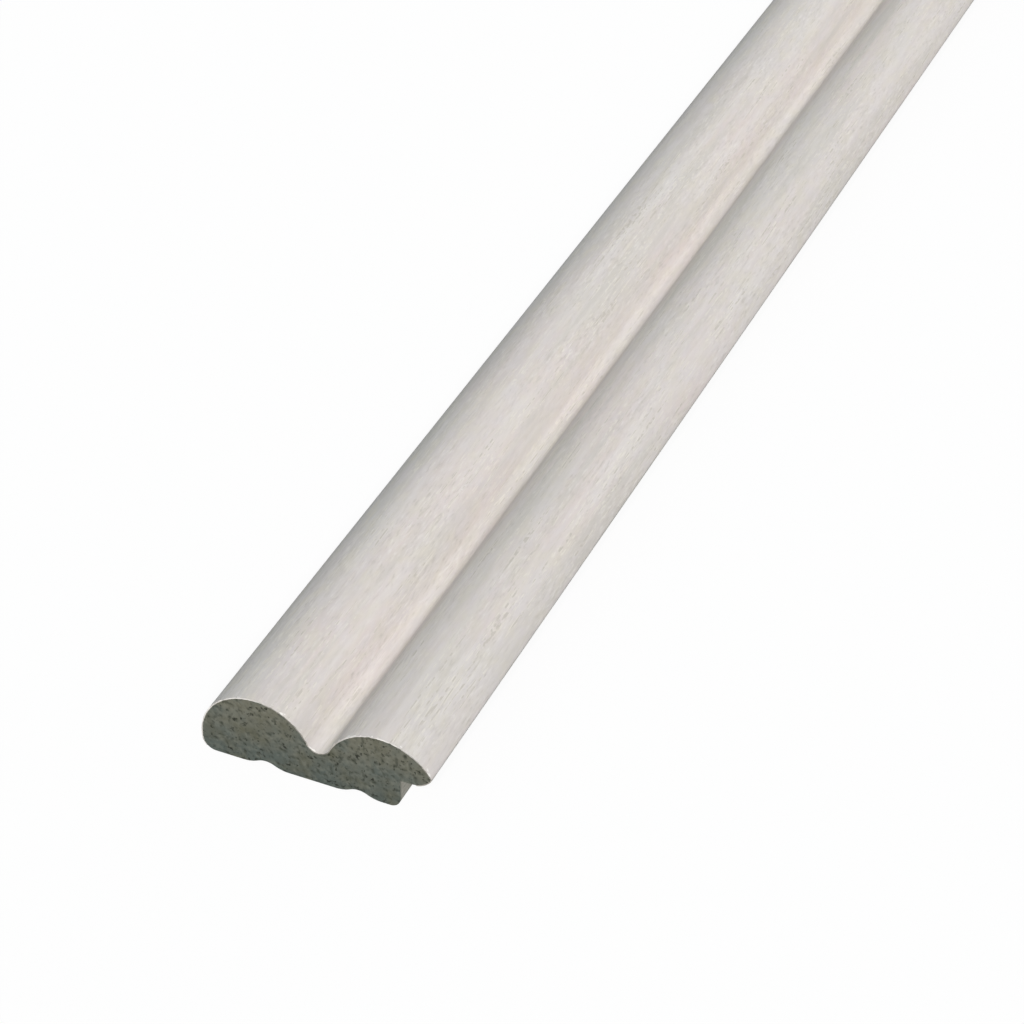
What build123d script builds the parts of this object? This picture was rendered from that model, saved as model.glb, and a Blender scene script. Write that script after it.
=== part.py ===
"""Panel transition profile: a wrapped double-bead moulding for wall and ceiling panels.

The moulding is a milled core of moisture-resistant fibreboard with a decor foil glued round its face.
It lies on its back: X runs across the section, Y along the stock and Z up from the back to the beads.
The origin is in the back plane, at the middle of the length and of the overall width. Millimetres.
"""

import os
from math import acos, atan2, cos, degrees, radians, sin, sqrt

from build123d import *

# Stock
LENGTH = 2600.0  # a length that panel trims are sold in
THICKNESS = 13.0  # from the back plane to the bead tops, over the foil
FOIL_THICKNESS = 0.2

# Face of the core: two equal beads with a rounded valley between them
BEAD_RADIUS = 9.64
VALLEY_DEPTH = 6.9  # from the bead tops down to the valley floor
VALLEY_RADIUS = 2.2
EDGE_RADIUS = 2.2  # where the left bead turns in to the back

# Lip on the right, which laps over the edge of a panel in the rebate below it
REBATE_HEIGHT = 5.7  # from the back plane up to the flat under the lip
REBATE_WIDTH = 5.4  # from the rebate wall out to the tip of the lip, over the foil
HEEL_RADIUS = 1.8  # foot of the rebate wall
LIP_EDGE_HEIGHT = 2.0  # from the flat under the lip up to the middle of the rounded tip
TIP_RADIUS = 0.5
NOSE_RADIUS = 4.2  # underside of the lip, from the flat up to the tip

# Back: three pads in one plane, with two shallow relief grooves between them
LEFT_PAD_WIDTH = 4.8
RIGHT_PAD_WIDTH = 1.4
GROOVE_DEPTH = 1.0
GROOVE_RADIUS = 3.0
SHOULDER_RADIUS = 5.5

# The foil stops short of the back, so that the bare pads lie flat on the wall
EDGE_WRAP = 45.0  # degrees that the foil is turned in below the left side
NOSE_WRAP = 40.0  # degrees that the foil is turned under the nose, past the tip

# Heights of the arc centres, and how far apart they stand across the section where the arcs blend
face_top = THICKNESS - FOIL_THICKNESS
bead_height = face_top - BEAD_RADIUS
valley_height = face_top - VALLEY_DEPTH + VALLEY_RADIUS
tip_height = REBATE_HEIGHT + LIP_EDGE_HEIGHT
nose_height = REBATE_HEIGHT + NOSE_RADIUS
valley_run = sqrt((BEAD_RADIUS + VALLEY_RADIUS) ** 2 - (valley_height - bead_height) ** 2)
edge_run = sqrt((BEAD_RADIUS - EDGE_RADIUS) ** 2 - (EDGE_RADIUS - bead_height) ** 2)
tip_run = sqrt((BEAD_RADIUS - TIP_RADIUS) ** 2 - (tip_height - bead_height) ** 2)
nose_run = sqrt((NOSE_RADIUS - TIP_RADIUS) ** 2 - (nose_height - tip_height) ** 2)

# The overall width follows from the beads and the lip
width = 2 * FOIL_THICKNESS + BEAD_RADIUS + 2 * valley_run + tip_run + TIP_RADIUS
wall = width / 2 - REBATE_WIDTH

# Arc centres in the section, as (x, z)
left_bead = (FOIL_THICKNESS + BEAD_RADIUS - width / 2, bead_height)
edge = (left_bead[0] - edge_run, EDGE_RADIUS)
valley = (left_bead[0] + valley_run, valley_height)
right_bead = (valley[0] + valley_run, bead_height)
tip = (right_bead[0] + tip_run, tip_height)
nose = (tip[0] - nose_run, nose_height)
heel = (wall - HEEL_RADIUS, HEEL_RADIUS)

# Relief grooves: half their width to the pads, the slope where the arcs blend, and where they lie
groove_blend = GROOVE_RADIUS + SHOULDER_RADIUS
groove_slope = degrees(acos(1 - GROOVE_DEPTH / groove_blend))
groove_half = groove_blend * sin(radians(groove_slope))
left_groove = edge[0] + LEFT_PAD_WIDTH + groove_half
right_groove = heel[0] - RIGHT_PAD_WIDTH - groove_half


def bearing(centre, other):
    """Direction in degrees from one arc centre to another; two blending arcs meet in that direction."""
    return degrees(atan2(other[1] - centre[1], other[0] - centre[0]))


def on_arc(centre, radius, direction):
    """Point of an arc that lies in a direction from its centre."""
    return (centre[0] + radius * cos(radians(direction)), centre[1] + radius * sin(radians(direction)))


def draw_arc(centre, radius, first, last):
    """Arc round a centre from one direction to another."""
    CenterArc(centre, radius, first, last - first)


edge_meets_bead = bearing(left_bead, edge) % 360
bead_meets_valley = bearing(left_bead, valley)
bead_meets_tip = bearing(right_bead, tip)
tip_meets_nose = bearing(nose, tip)
foil_start = 180 + EDGE_WRAP
foil_end = tip_meets_nose - NOSE_WRAP


def draw_face(cover):
    """The face from the foil's start at the left edge to its end under the nose, out by a cover's thickness."""
    draw_arc(edge, EDGE_RADIUS + cover, foil_start, edge_meets_bead)
    draw_arc(left_bead, BEAD_RADIUS + cover, edge_meets_bead, bead_meets_valley)
    draw_arc(valley, VALLEY_RADIUS - cover, 180 + bead_meets_valley, 360 - bead_meets_valley)
    draw_arc(right_bead, BEAD_RADIUS + cover, 180 - bead_meets_valley, bead_meets_tip)
    draw_arc(tip, TIP_RADIUS + cover, bead_meets_tip, tip_meets_nose)
    draw_arc(nose, NOSE_RADIUS + cover, tip_meets_nose, foil_end)


def draw_groove(middle):
    """One relief groove in the back, from its right pad to its left pad."""
    draw_arc((middle + groove_half, SHOULDER_RADIUS), SHOULDER_RADIUS, -90, -90 - groove_slope)
    draw_arc((middle, GROOVE_DEPTH - GROOVE_RADIUS), GROOVE_RADIUS, 90 - groove_slope, 90 + groove_slope)
    draw_arc((middle - groove_half, SHOULDER_RADIUS), SHOULDER_RADIUS, -90 + groove_slope, -90)


# Milled fibreboard core, sawn square at both ends
with BuildPart() as mdf_core:
    with BuildSketch(Plane.XZ):
        with BuildLine():
            draw_face(0)
            draw_arc(nose, NOSE_RADIUS, foil_end, -90)
            Polyline((nose[0], REBATE_HEIGHT), (wall, REBATE_HEIGHT), (wall, HEEL_RADIUS))
            draw_arc(heel, HEEL_RADIUS, 0, -90)
            Line((heel[0], 0), (right_groove + groove_half, 0))
            draw_groove(right_groove)
            Line((right_groove - groove_half, 0), (left_groove + groove_half, 0))
            draw_groove(left_groove)
            Line((left_groove - groove_half, 0), (edge[0], 0))
            draw_arc(edge, EDGE_RADIUS, 270, foil_start)
        make_face()
    extrude(amount=LENGTH / 2, both=True)

# Decor foil, glued to the face and turned in at both sides
with BuildPart() as decor_foil:
    with BuildSketch(Plane.XZ):
        with BuildLine():
            draw_face(0)
            draw_face(FOIL_THICKNESS)
            Line(on_arc(edge, EDGE_RADIUS, foil_start), on_arc(edge, EDGE_RADIUS + FOIL_THICKNESS, foil_start))
            Line(on_arc(nose, NOSE_RADIUS, foil_end), on_arc(nose, NOSE_RADIUS + FOIL_THICKNESS, foil_end))
        make_face()
    extrude(amount=LENGTH / 2, both=True)

os.makedirs("parts", exist_ok=True)
mdf_core.part.label = "mdf_core"
decor_foil.part.label = "decor_foil"
export_step(mdf_core.part, "parts/mdf_core.step")
export_step(decor_foil.part, "parts/decor_foil.step")
print(f"width {width:.2f}, rebate wall at {wall:.2f}, grooves at {left_groove:.2f} and {right_groove:.2f}")
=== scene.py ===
from math import acos, atan2, cos, degrees, radians, sin, sqrt

import bpy
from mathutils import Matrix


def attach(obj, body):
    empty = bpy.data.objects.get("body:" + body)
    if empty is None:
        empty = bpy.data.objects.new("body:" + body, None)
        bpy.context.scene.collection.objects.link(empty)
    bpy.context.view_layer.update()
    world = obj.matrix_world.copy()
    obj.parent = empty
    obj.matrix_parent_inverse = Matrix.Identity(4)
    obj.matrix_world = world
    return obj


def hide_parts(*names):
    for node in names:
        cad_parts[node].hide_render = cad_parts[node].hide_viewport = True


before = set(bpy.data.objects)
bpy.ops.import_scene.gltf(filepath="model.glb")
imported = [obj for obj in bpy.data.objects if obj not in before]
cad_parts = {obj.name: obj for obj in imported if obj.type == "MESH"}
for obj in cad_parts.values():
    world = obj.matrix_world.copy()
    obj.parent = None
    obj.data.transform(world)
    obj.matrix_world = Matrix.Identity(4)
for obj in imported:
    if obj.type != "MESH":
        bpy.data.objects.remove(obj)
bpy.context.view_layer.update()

# Core of the moulding: one length of moisture-resistant MDF, dyed grey-green in the fibre.
# A moulder mills the beads, valley, lip, rebate and back grooves in one pass along the length,
# and a saw cuts both ends square, which tears small pits into them.
mm = 0.001
length = 2600 * mm
near_end = -length / 2
thickness = 13 * mm
foil_thickness = 0.2 * mm
bead_radius = 9.64 * mm
valley_depth = 6.9 * mm
valley_radius = 2.2 * mm
edge_radius = 2.2 * mm
rebate_height = 5.7 * mm
rebate_width = 5.4 * mm
heel_radius = 1.8 * mm
lip_edge_height = 2.0 * mm
tip_radius = 0.5 * mm
nose_radius = 4.2 * mm
left_pad_width = 4.8 * mm
right_pad_width = 1.4 * mm
groove_depth = 1.0 * mm
groove_radius = 3.0 * mm
shoulder_radius = 5.5 * mm
edge_wrap = 45  # degrees that the foil is turned in below the left side
nose_wrap = 40  # degrees that the foil is turned under the nose, past the tip
pit_depth = 0.2 * mm
rim_share = 0.05  # depth of the pits at the rim of an end, as a share of their full depth
fuzz_reach = 0.6 * mm  # how far from a sawn end the milled faces are fuzzed by the saw

# How finely the mesh is drawn
outline_step = 0.3 * mm
fewest_steps = 4
station_step = 100 * mm
end_cell = 0.25 * mm
same_place = 0.01 * mm
cut_slack = 0.02 * mm
end_facing = 0.5  # least share of a face's normal that lies along the stock on a sawn end
crease = radians(40)

# Heights of the arc centres in the section, and how far apart they stand where the arcs blend
bead_height = thickness - foil_thickness - bead_radius
valley_height = thickness - foil_thickness - valley_depth + valley_radius
tip_height = rebate_height + lip_edge_height
nose_height = rebate_height + nose_radius
valley_run = sqrt((bead_radius + valley_radius) ** 2 - (valley_height - bead_height) ** 2)
edge_run = sqrt((bead_radius - edge_radius) ** 2 - (edge_radius - bead_height) ** 2)
tip_run = sqrt((bead_radius - tip_radius) ** 2 - (tip_height - bead_height) ** 2)
nose_run = sqrt((nose_radius - tip_radius) ** 2 - (nose_height - tip_height) ** 2)
width = 2 * foil_thickness + bead_radius + 2 * valley_run + tip_run + tip_radius
wall = width / 2 - rebate_width
left_bead = (foil_thickness + bead_radius - width / 2, bead_height)
edge = (left_bead[0] - edge_run, edge_radius)
valley = (left_bead[0] + valley_run, valley_height)
right_bead = (valley[0] + valley_run, bead_height)
tip = (right_bead[0] + tip_run, tip_height)
nose = (tip[0] - nose_run, nose_height)
heel = (wall - heel_radius, heel_radius)
groove_blend = groove_radius + shoulder_radius
groove_slope = degrees(acos(1 - groove_depth / groove_blend))
groove_half = groove_blend * sin(radians(groove_slope))
centre_pad_width = heel[0] - edge[0] - left_pad_width - right_pad_width - 4 * groove_half


def bearing(centre, other):
    """Direction from one arc centre to another; two blending arcs meet in that direction."""
    return degrees(atan2(other[1] - centre[1], other[0] - centre[0]))


edge_meets_bead = bearing(left_bead, edge) % 360
bead_meets_valley = bearing(left_bead, valley)
bead_meets_tip = bearing(right_bead, tip)
tip_meets_nose = bearing(nose, tip)
foil_start = 180 + edge_wrap
foil_end = tip_meets_nose - nose_wrap


def begin_outline(name):
    """Start a piece as one vertex of the near sawn end, where the foil begins at the left edge."""
    bpy.ops.object.select_all(action="DESELECT")
    bpy.ops.mesh.primitive_plane_add(size=mm, enter_editmode=True)
    bpy.ops.mesh.merge(type="CENTER")
    first_x = edge[0] + edge_radius * cos(radians(foil_start))
    first_z = edge[1] + edge_radius * sin(radians(foil_start))
    bpy.ops.transform.translate(value=(first_x, near_end, first_z))
    bpy.context.object.name = name
    return bpy.context.object


def carry_round(centre, radius, first, last):
    """Carry the outline round an arc centre, from one direction to another."""
    turn = radians(last - first)
    steps = max(fewest_steps, round(abs(turn) * radius / outline_step))
    bpy.ops.mesh.spin(steps=steps, angle=turn, center=(centre[0], near_end, centre[1]), axis=(0, 1, 0))


def carry_straight(across, up):
    """Carry the outline straight on."""
    bpy.ops.mesh.extrude_region_move(TRANSFORM_OT_translate={"value": (across, 0, up)})


def carry_over_face():
    """Carry the outline over the face that the foil covers, from the left edge to the nose."""
    carry_round(edge, edge_radius, foil_start, edge_meets_bead)
    carry_round(left_bead, bead_radius, edge_meets_bead, bead_meets_valley)
    carry_round(valley, valley_radius, 180 + bead_meets_valley, 360 - bead_meets_valley)
    carry_round(right_bead, bead_radius, 180 - bead_meets_valley, bead_meets_tip)
    carry_round(tip, tip_radius, bead_meets_tip, tip_meets_nose)
    carry_round(nose, nose_radius, tip_meets_nose, foil_end)


def carry_through_groove(middle):
    """Carry the outline through one relief groove of the back, from its right pad to its left pad."""
    carry_round((middle + groove_half, shoulder_radius), shoulder_radius, -90, -90 - groove_slope)
    carry_round((middle, groove_depth - groove_radius), groove_radius, 90 - groove_slope, 90 + groove_slope)
    carry_round((middle - groove_half, shoulder_radius), shoulder_radius, -90 + groove_slope, -90)


def run_along_stock():
    """Draw the selected outline or end face out to the far end, in even steps."""
    for _ in range(round(length / station_step)):
        bpy.ops.mesh.extrude_region_move(TRANSFORM_OT_translate={"value": (0, station_step, 0)})
    bpy.ops.mesh.select_all(action="SELECT")
    bpy.ops.mesh.normals_make_consistent(inside=False)


def faces_end(face):
    """Whether a face belongs to a sawn end."""
    return abs(face.normal.y) > end_facing


def group_end(piece, end, rim):
    """Name the vertices of one end as a group; those that the sides share get less weight."""
    shared = {v for face in piece.data.polygons if not faces_end(face) for v in face.vertices}
    group = piece.vertex_groups.new(name="end")
    for vertex in piece.data.vertices:
        if abs(vertex.co.y - end) < same_place:
            group.add([vertex.index], rim if vertex.index in shared else 1.0, "REPLACE")
    return group.name


def press_in(piece, group, pattern, depth):
    """Press a group of vertices in along the stock where a pattern is strong."""
    press = piece.modifiers.new("press", "DISPLACE")
    press.vertex_group = group
    press.texture = pattern
    press.texture_coords = "LOCAL"
    press.direction = "Y"
    press.mid_level = 0
    press.strength = depth
    bpy.ops.object.modifier_apply(modifier=press.name)


core = begin_outline("fibreboard_core")
carry_over_face()
carry_round(nose, nose_radius, foil_end, -90)
carry_straight(wall - nose[0], 0)
carry_straight(0, heel_radius - rebate_height)
carry_round(heel, heel_radius, 0, -90)
carry_straight(-right_pad_width, 0)
carry_through_groove(heel[0] - right_pad_width - groove_half)
carry_straight(-centre_pad_width, 0)
carry_through_groove(edge[0] + left_pad_width + groove_half)
carry_straight(-left_pad_width, 0)
carry_round(edge, edge_radius, -90, foil_start - 360)
bpy.ops.mesh.select_all(action="SELECT")
bpy.ops.mesh.remove_doubles(threshold=same_place)
bpy.ops.mesh.edge_face_add()
run_along_stock()

# Both ends are diced into small cells, and the torn pits are pressed into those
bpy.ops.object.mode_set(mode="OBJECT")
for face in core.data.polygons:
    face.select = faces_end(face)
bpy.ops.object.mode_set(mode="EDIT")
bpy.ops.mesh.select_mode(type="FACE")
bpy.ops.mesh.hide(unselected=True)
for cell in range(1, round(width / end_cell)):
    bpy.ops.mesh.select_all(action="SELECT")
    cell_side = cell * end_cell - width / 2
    bpy.ops.mesh.bisect(plane_co=(cell_side, 0, 0), plane_no=(1, 0, 0), threshold=cut_slack)
for cell in range(1, round(thickness / end_cell)):
    bpy.ops.mesh.select_all(action="SELECT")
    bpy.ops.mesh.bisect(plane_co=(0, 0, cell * end_cell), plane_no=(0, 0, 1), threshold=cut_slack)
bpy.ops.mesh.reveal(select=False)
bpy.ops.mesh.select_mode(type="VERT")
bpy.ops.object.mode_set(mode="OBJECT")
for face in core.data.polygons:
    face.material_index = 1 if faces_end(face) else 0
pits = bpy.data.textures.new("torn_pits", "CLOUDS")
pits.noise_scale = 0.8 * mm
pits.noise_depth = 3
pits.contrast = 3
pits.intensity = 0.5
pits.use_clamp = True
near_group = group_end(core, near_end, rim_share)
far_group = group_end(core, -near_end, rim_share)
press_in(core, near_group, pits, pit_depth)
press_in(core, far_group, pits, -pit_depth)
bpy.ops.object.shade_smooth_by_angle(angle=crease)
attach(core, "root")
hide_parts("mdf_core")


def linear(shade):
    """Linear colour of an sRGB hex value."""
    parts = [int(shade[i : i + 2], 16) / 255 for i in (1, 3, 5)]
    return [p / 12.92 if p <= 0.04045 else ((p + 0.055) / 1.055) ** 2.4 for p in parts] + [1.0]


def add_node(material, kind, sockets, **settings):
    """Add one shader node; a socket takes a value or the output that is linked to it."""
    node = material.node_tree.nodes.new(kind)
    for name, value in settings.items():
        setattr(node, name, value)
    for name, value in sockets.items():
        if isinstance(value, bpy.types.NodeSocket):
            material.node_tree.links.new(value, node.inputs[name])
        else:
            node.inputs[name].default_value = value
    return node


def place_on(material, axis):
    """Place on the stock along one axis: X across it, Y along it or Z up from its back."""
    place = add_node(material, "ShaderNodeTexCoord", {})
    axes = add_node(material, "ShaderNodeSeparateXYZ", {0: place.outputs["Object"]})
    return axes.outputs[axis]


def from_middle(material):
    """Distance along the stock from the middle of its length."""
    away = add_node(material, "ShaderNodeMath", {0: place_on(material, "Y")}, operation="ABSOLUTE")
    return away.outputs[0]


def grain(material, size, shift, detail):
    """Noise whose patches have a real size across the stock and along it, taken from a shifted place."""
    across, along = size
    place = add_node(material, "ShaderNodeTexCoord", {})
    spread = add_node(material, "ShaderNodeMapping", {
        "Vector": place.outputs["Object"], "Location": (shift, shift, shift),
        "Scale": (1 / across, 1 / along, 1 / across)})
    noise = add_node(material, "ShaderNodeTexNoise", {
        "Vector": spread.outputs[0], "Scale": 1, "Detail": detail})
    return noise.outputs["Fac"]


def patchy(material, size, shift, detail, low, high, least=0.0, most=1.0):
    """Share that comes and goes in patches of a real size, from a least to a most."""
    rise = add_node(material, "ShaderNodeMapRange", {
        "Value": grain(material, size, shift, detail), "From Min": low, "From Max": high,
        "To Min": least, "To Max": most})
    return rise.outputs["Result"]


def stain(material, colour, shade, pattern, low, high, most=1.0, within=1.0):
    """Colour with a shade laid over it as a pattern goes from a low to a high value, within a share."""
    rise = add_node(material, "ShaderNodeMapRange", {
        "Value": pattern, "From Min": low, "From Max": high, "To Max": most})
    share = add_node(material, "ShaderNodeMath", {
        0: rise.outputs["Result"], 1: within}, operation="MULTIPLY")
    # Inputs 6 and 7 and output 2 are the colours of this node
    laid = add_node(material, "ShaderNodeMix", {
        "Factor": share.outputs[0], 6: colour, 7: linear(shade)}, data_type="RGBA")
    return laid.outputs[2]


# Milled faces: dense and smooth, grey-green with short paler and darker fibres that lie along the
# stock, and darker fuzz right at the saw cuts
milled = bpy.data.materials.new("milled_mdf")
milled.use_nodes = True
shader = milled.node_tree.nodes["Principled BSDF"]
clouds = grain(milled, (4 * mm, 12 * mm), shift=3, detail=2)
colour = stain(milled, linear("#A7A59A"), "#B2B0A5", clouds, low=0.35, high=0.65)
fibre = grain(milled, (0.25 * mm, 2 * mm), shift=11, detail=3)
colour = stain(milled, colour, "#B4B4AA", fibre, low=0.5, high=0.75)
colour = stain(milled, colour, "#808077", fibre, low=0.42, high=0.28)
colour = stain(milled, colour, "#6A6E64", from_middle(milled), low=length / 2 - fuzz_reach, high=length / 2)
milled.node_tree.links.new(colour, shader.inputs["Base Color"])
shader.inputs["Roughness"].default_value = 0.8
shader.inputs["Specular IOR Level"].default_value = 0.3
bump = add_node(milled, "ShaderNodeBump", {"Strength": 0.3, "Distance": 0.05 * mm, "Height": fibre})
milled.node_tree.links.new(bump.outputs[0], shader.inputs["Normal"])
core.data.materials.append(milled)

# Sawn ends: a felt of fibre, darker and greener towards the back of the board and olive above it,
# with broad patches, pale flecks, crowds of small dark specks, and torn pits with painted shade in them
sawn = bpy.data.materials.new("sawn_mdf")
sawn.use_nodes = True
shader = sawn.node_tree.nodes["Principled BSDF"]
olive_height = 11 * mm
# darker and greener towards the back of the board, olive higher up
colour = stain(sawn, linear("#525A55"), "#707063", place_on(sawn, "Z"), low=0, high=olive_height)
patches = grain(sawn, (4 * mm, 4 * mm), shift=5, detail=2)
colour = stain(sawn, colour, "#5F5F4F", patches, low=0.5, high=0.7, most=0.8)
colour = stain(sawn, colour, "#57605B", patches, low=0.5, high=0.3, most=0.8)
felt = grain(sawn, (0.9 * mm, 0.9 * mm), shift=17, detail=3)
colour = stain(sawn, colour, "#7B7D72", felt, low=0.5, high=0.7, most=0.4)
colour = stain(sawn, colour, "#42463D", felt, low=0.48, high=0.3, most=0.2)
specks = grain(sawn, (0.55 * mm, 0.55 * mm), shift=43, detail=1)
crowd = patchy(sawn, (2.5 * mm, 2.5 * mm), shift=47, detail=2, low=0.4, high=0.55, least=0.2, most=0.9)
colour = stain(sawn, colour, "#22251E", specks, low=0.41, high=0.28, within=crowd)
# painted shade in the torn pits: the colour darkens the deeper the end is pressed in there
pit_shade_start = length / 2 - 0.1 * pit_depth
pit_shade_full = length / 2 - 0.9 * pit_depth
colour = stain(sawn, colour, "#3A3E35", from_middle(sawn), low=pit_shade_start, high=pit_shade_full)
sawn.node_tree.links.new(colour, shader.inputs["Base Color"])
shader.inputs["Roughness"].default_value = 0.95
shader.inputs["Specular IOR Level"].default_value = 0.2
bump = add_node(sawn, "ShaderNodeBump", {"Strength": 0.3, "Distance": 0.08 * mm, "Height": felt})
sawn.node_tree.links.new(bump.outputs[0], shader.inputs["Normal"])
core.data.materials.append(sawn)

# Decor foil on the face: a thin printed film with a pale washed-wood grain, glued on round
# the beads by a wrapping line and turned in at both sides. The saw leaves its pale cut edge
# bare at the ends, nicks it here and there and chips a little of the print off.
nick_depth = 0.12 * mm
chip_reach = 0.8 * mm
foil = begin_outline("washed_wood_foil")
carry_over_face()
bpy.ops.mesh.select_all(action="SELECT")
run_along_stock()
bpy.ops.object.mode_set(mode="OBJECT")
skin = foil.modifiers.new("film", "SOLIDIFY")
skin.thickness = foil_thickness
skin.offset = 1
skin.use_even_offset = True
bpy.ops.object.modifier_apply(modifier="film")
for face in foil.data.polygons:
    face.material_index = 1 if faces_end(face) else 0
nicks = bpy.data.textures.new("saw_nicks", "CLOUDS")
nicks.noise_scale = 0.8 * mm
nicks.noise_depth = 2
nicks.contrast = 4
nicks.intensity = 0.5
nicks.use_clamp = True
near_group = group_end(foil, near_end, 1.0)
far_group = group_end(foil, -near_end, 1.0)
press_in(foil, near_group, nicks, nick_depth)
press_in(foil, far_group, nicks, -nick_depth)
bpy.ops.object.shade_smooth_by_angle(angle=crease)
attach(foil, "root")
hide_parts("decor_foil")

# Printed face: washed wood in broad cool and warm patches, with darker bands, pale streaks, fine short
# lines, groups of small pores that have a pale edge, and white chips at the saw cuts. Towards its left side
# it
# turns greyer and bluer: partly painted shade of the left flank, partly a darker band of the print
film = bpy.data.materials.new("washed_wood_film")
film.use_nodes = True
shader = film.node_tree.nodes["Principled BSDF"]
patches = grain(film, (8 * mm, 30 * mm), shift=2, detail=3)
colour = stain(film, linear("#D6D1CC"), "#DBD1CD", patches, low=0.35, high=0.65)
# painted shade: the print turns greyer and bluer towards the left side, where the left flank lies in shade,
# partly a darker band of the print there
painted_shade_start = left_bead[0] + 4 * mm
painted_shade_full = left_bead[0] - 5 * mm
colour = stain(film, colour, "#89959B", place_on(film, "X"), low=painted_shade_start, high=painted_shade_full, most=0.15)
flush = grain(film, (2 * mm, 5 * mm), shift=31, detail=2)
colour = stain(film, colour, "#D9D3C5", flush, low=0.5, high=0.7, most=0.55)
colour = stain(film, colour, "#D7D1D2", flush, low=0.5, high=0.3, most=0.55)
bands = grain(film, (2.5 * mm, 60 * mm), shift=7, detail=3)
colour = stain(film, colour, "#CCC8C1", bands, low=0.5, high=0.7, most=0.75)
colour = stain(film, colour, "#DFDBD7", bands, low=0.5, high=0.3, most=0.5)
streaks = grain(film, (0.9 * mm, 9 * mm), shift=41, detail=3)
colour = stain(film, colour, "#E3DFDB", streaks, low=0.5, high=0.7, most=0.28)
colour = stain(film, colour, "#CAC6BF", streaks, low=0.5, high=0.3, most=0.25)
lines = grain(film, (0.4 * mm, 2.2 * mm), shift=13, detail=2)
clusters = patchy(film, (4 * mm, 30 * mm), shift=19, detail=2, low=0.4, high=0.6, least=0.3)
colour = stain(film, colour, "#EAE6E2", lines, low=0.55, high=0.75, most=0.55, within=clusters)
colour = stain(film, colour, "#B7B2AA", lines, low=0.45, high=0.25, most=0.48, within=clusters)
rows = grain(film, (0.4 * mm, 15 * mm), shift=23, detail=1)
groups = patchy(film, (2.5 * mm, 25 * mm), shift=61, detail=2, low=0.4, high=0.56)
pores = patchy(film, (0.5 * mm, 1.3 * mm), shift=37, detail=1, low=0.46, high=0.56, most=groups)
colour = stain(film, colour, "#EFEBE0", rows, low=0.49, high=0.56, most=0.46, within=pores)
colour = stain(film, colour, "#ADA69E", rows, low=0.56, high=0.64, most=0.52, within=pores)
chips = patchy(film, (1.2 * mm, 1.2 * mm), shift=59, detail=2, low=0.59, high=0.63)
chip_start = length / 2 - chip_reach
chip_full = length / 2 - 0.5 * chip_reach
colour = stain(film, colour, "#F6F3EE", from_middle(film), low=chip_start, high=chip_full, within=chips)
film.node_tree.links.new(colour, shader.inputs["Base Color"])
shader.inputs["Roughness"].default_value = 0.6
shader.inputs["Specular IOR Level"].default_value = 0.2
bump = add_node(film, "ShaderNodeBump", {"Strength": 0.15, "Distance": 0.05 * mm, "Height": lines})
film.node_tree.links.new(bump.outputs[0], shader.inputs["Normal"])
foil.data.materials.append(film)

# Cut edge of the foil: its pale paper is bare on the left of the left bead and on top of the
# right one, and greyer towards the valley and the lip
cut = bpy.data.materials.new("cut_film_edge")
cut.use_nodes = True
shader = cut.node_tree.nodes["Principled BSDF"]
first_pale = left_bead[0] - bead_radius / 2
half_spacing = valley_run + 0.2 * bead_radius
across = add_node(cut, "ShaderNodeMath", {0: place_on(cut, "X"), 1: first_pale}, operation="SUBTRACT")
side = add_node(cut, "ShaderNodeMath", {0: across.outputs[0], 1: half_spacing}, operation="PINGPONG")
pale_until = 0.3 * valley_run
grey_from = 0.8 * valley_run
colour = stain(cut, linear("#EDEAE5"), "#8F8C84", side.outputs[0], low=pale_until, high=grey_from)
smear = grain(cut, (1.5 * mm, 1.5 * mm), shift=29, detail=3)
colour = stain(cut, colour, "#B9B5AD", smear, low=0.45, high=0.7, most=0.6)
cut.node_tree.links.new(colour, shader.inputs["Base Color"])
shader.inputs["Roughness"].default_value = 0.9
shader.inputs["Specular IOR Level"].default_value = 0.2
foil.data.materials.append(cut)

# Floor: a plain studio sheet that looks white and keeps a faint shadow. It gives back less light
# than it shows, so that the underside of the stock stays in shade.
floor_size = 24
floor_gap = 0.2 * mm
plain_white = 0.9  # share of plain white in the look of the sheet; the rest takes the shadow
bpy.ops.object.select_all(action="DESELECT")
bpy.ops.mesh.primitive_plane_add(size=floor_size, location=(0, 0, -floor_gap))
floor = bpy.context.object
floor.name = "floor"
sheet = bpy.data.materials.new("white_sheet")
sheet.use_nodes = True
shader = sheet.node_tree.nodes["Principled BSDF"]
shader.inputs["Base Color"].default_value = linear("#808080")
shader.inputs["Roughness"].default_value = 1.0
shader.inputs["Specular IOR Level"].default_value = 0.0


def seen_share(material):
    """1 for what the camera sees, also in a mirror or through glass, and 0 for what lights the object."""
    rays = add_node(material, "ShaderNodeLightPath", {})
    seen = add_node(material, "ShaderNodeMath", {
        0: rays.outputs["Is Camera Ray"], 1: rays.outputs["Is Glossy Ray"]}, operation="MAXIMUM")
    seen = add_node(material, "ShaderNodeMath", {
        0: seen.outputs[0], 1: rays.outputs["Is Transmission Ray"]}, operation="MAXIMUM")
    return seen.outputs[0]


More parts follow.
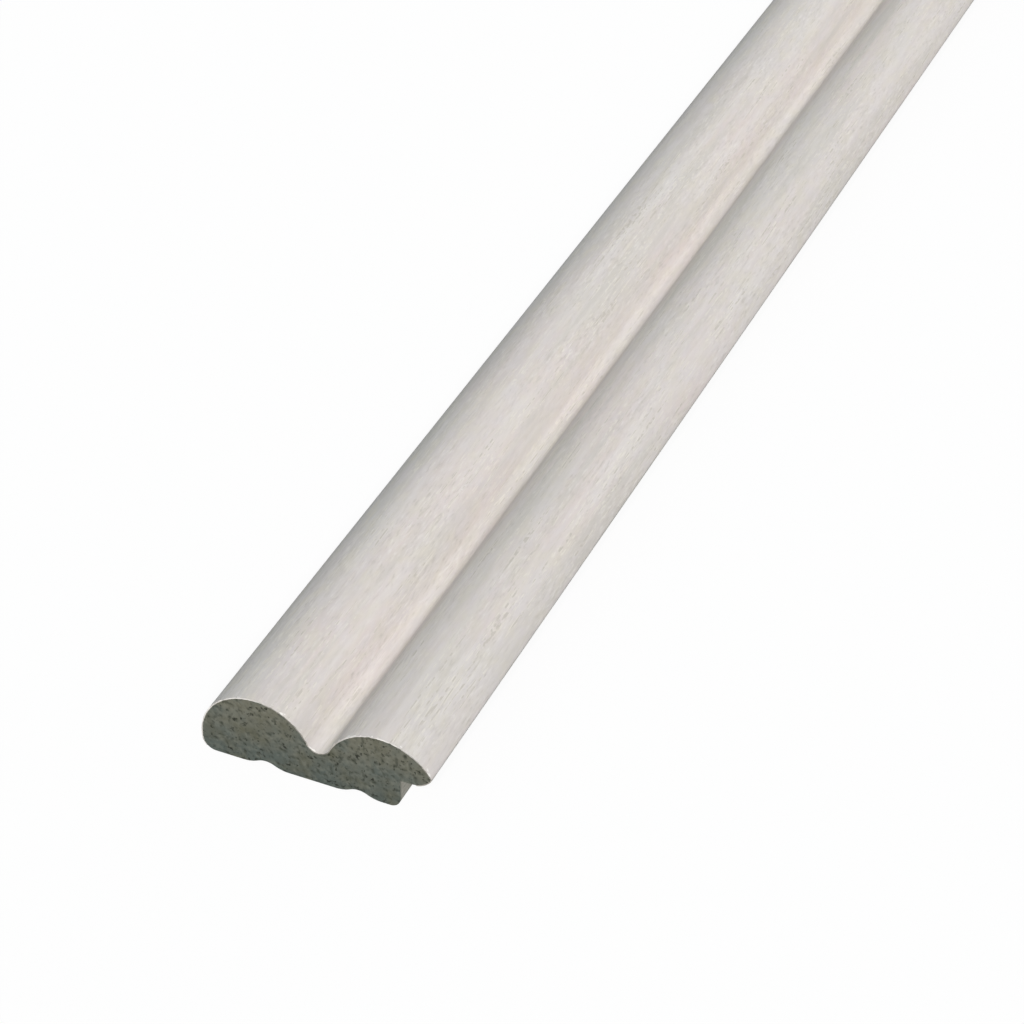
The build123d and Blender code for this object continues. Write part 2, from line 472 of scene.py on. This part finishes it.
shaded = add_node(sheet, "ShaderNodeBsdfDiffuse", {"Color": linear("#FFFFFF")})
white = add_node(sheet, "ShaderNodeEmission", {"Color": linear("#FFFFFF"), "Strength": 1.0})
look = add_node(sheet, "ShaderNodeMixShader", {0: plain_white, 1: shaded.outputs[0], 2: white.outputs[0]})
both = add_node(sheet, "ShaderNodeMixShader", {
    0: seen_share(sheet), 1: shader.outputs[0], 2: look.outputs[0]})
sheet.node_tree.links.new(both.outputs[0], sheet.node_tree.nodes["Material Output"].inputs["Surface"])
floor.data.materials.append(sheet)

# Light: one soft key from the upper right in front, a level fill along the stock, which lights
# little but the far sawn end, and an even pale surround.
lamp_colour = (1.0, 0.955, 0.95)
bpy.ops.object.light_add(type="SUN", location=(1, -2, 2))
key = bpy.context.object
key.data.energy = 3.45
key.data.color = lamp_colour
key.data.angle = radians(18)
key.rotation_euler = (radians(45), radians(28), 0)
bpy.ops.object.light_add(type="SUN", location=(0, 3, 0.5))
fill = bpy.context.object
fill.data.energy = 1.5
fill.data.color = lamp_colour
fill.data.angle = radians(2)
fill.rotation_euler = (radians(-89), 0, 0)
world = bpy.data.worlds.new("surround")
bpy.context.scene.world = world
world.use_nodes = True
around = world.node_tree.nodes["Background"]
around.inputs["Color"].default_value = (0.79, 0.96, 1.0, 1.0)
around.inputs["Strength"].default_value = 0.26
backdrop = add_node(world, "ShaderNodeBackground", {"Color": linear("#FFFFFF"), "Strength": 1.0})
both = add_node(world, "ShaderNodeMixShader", {
    0: seen_share(world), 1: around.outputs[0], 2: backdrop.outputs[0]})
world.node_tree.links.new(both.outputs[0], world.node_tree.nodes["World Output"].inputs["Surface"])

# Camera: above the near end and to its right, with a long lens.
looks_down = 37.696
looks_left = 24.274
bpy.ops.object.camera_add(
    location=(178.12 * mm, -1620.89 * mm, 335.61 * mm),
    rotation=(radians(90 - looks_down), 0, radians(looks_left)),
)
camera = bpy.context.object
camera.data.lens = 111.88
bpy.context.scene.camera = camera
bpy.context.scene.view_settings.view_transform = "Standard"
